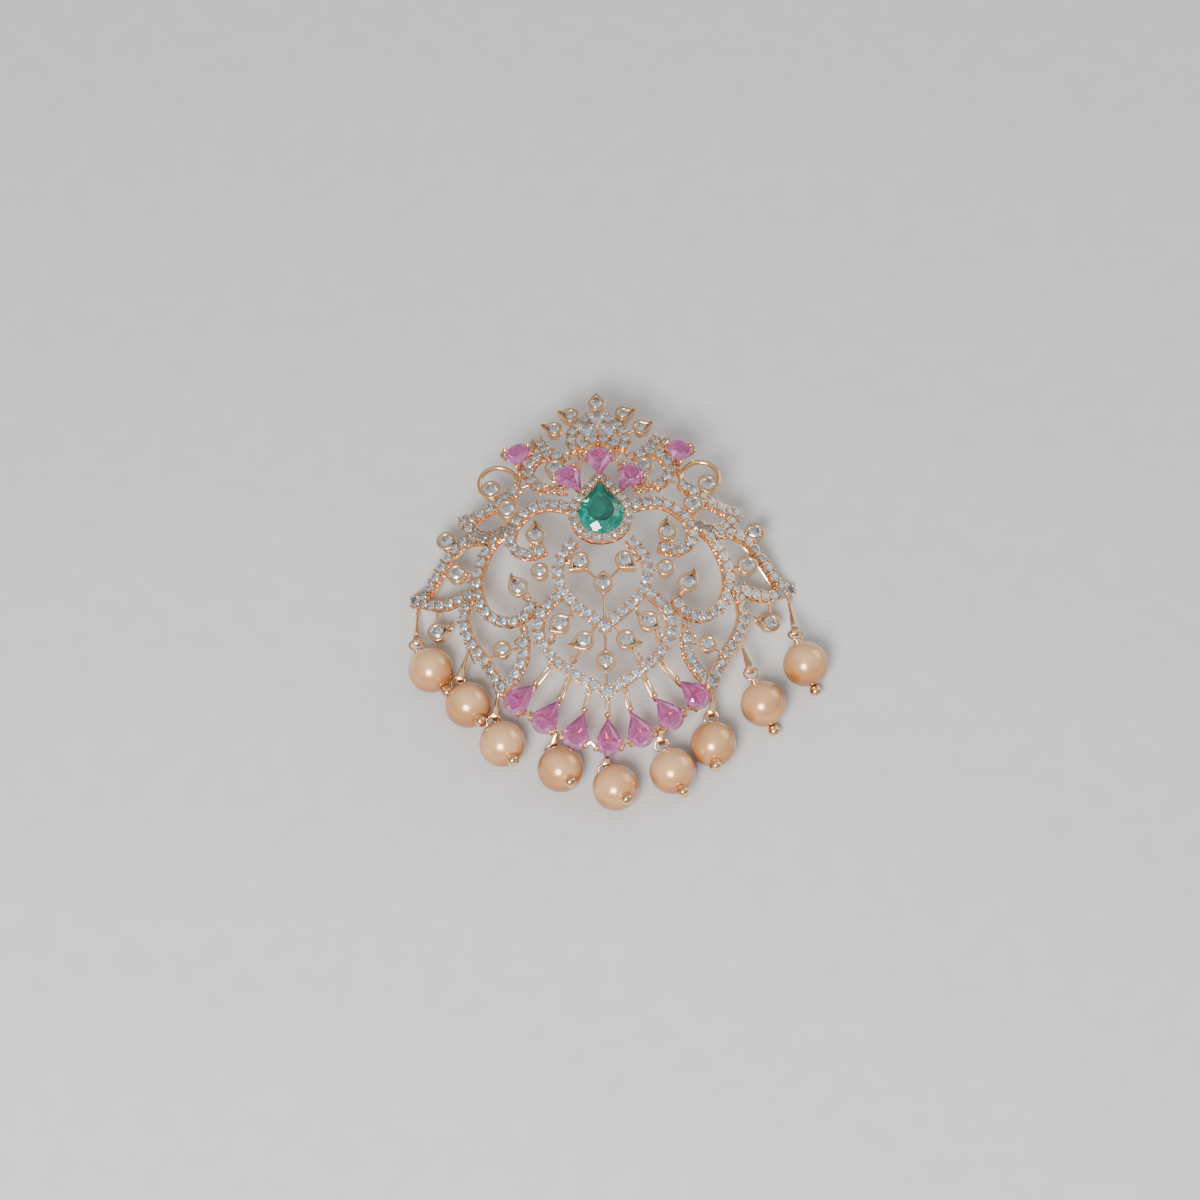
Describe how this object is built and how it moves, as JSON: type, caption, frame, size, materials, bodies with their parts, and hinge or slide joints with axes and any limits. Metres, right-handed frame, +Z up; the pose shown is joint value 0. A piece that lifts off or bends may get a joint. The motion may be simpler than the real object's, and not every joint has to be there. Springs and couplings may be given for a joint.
{
  "type": "gemstone pendant",
  "caption": "Domed openwork gold pendant of pavé scrolls and nested hearts round a green pear stone, with pink pear stones and a fringe of golden pearls.",
  "frame": {"origin": "middle of the bounding box's base, on the surface that the pendant lies on", "axes": "+X across the pendant, +Y from the pearl fringe to the crown, +Z up from the surface, out of the pendant's face"},
  "size_m": [0.048, 0.0526, 0.0108],
  "materials": {
    "gold": "polished rose gold; its small stones colourless",
    "green_stone": "cut and polished",
    "pink_stone": "cut and polished",
    "nacre": "lustrous golden nacre"
  },
  "bodies": {
    "root": {"frame": "gold", "emerald": "green_stone", "pink_crown_middle": "pink_stone", "pink_crown_side_right": "pink_stone", "pink_crown_side_left": "pink_stone", "pink_shoulder_right": "pink_stone", "pink_shoulder_left": "pink_stone", "pink_fringe_outer_right": "pink_stone", "pink_fringe_outer_left": "pink_stone", "pink_fringe_side_right": "pink_stone", "pink_fringe_side_left": "pink_stone", "pink_fringe_inner_right": "pink_stone", "pink_fringe_inner_left": "pink_stone", "pink_fringe_middle": "pink_stone", "pearl_1": "nacre", "pearl_2": "nacre", "pearl_3": "nacre", "pearl_4": "nacre", "pearl_5": "nacre", "pearl_6": "nacre", "pearl_7": "nacre", "pearl_8": "nacre", "pearl_9": "nacre", "pearl_pin_1": "gold", "pearl_pin_2": "gold", "pearl_pin_3": "gold", "pearl_pin_4": "gold", "pearl_pin_5": "gold", "pearl_pin_6": "gold", "pearl_pin_7": "gold", "pearl_pin_8": "gold", "pearl_pin_9": "gold"}
  },
  "joints": []
}
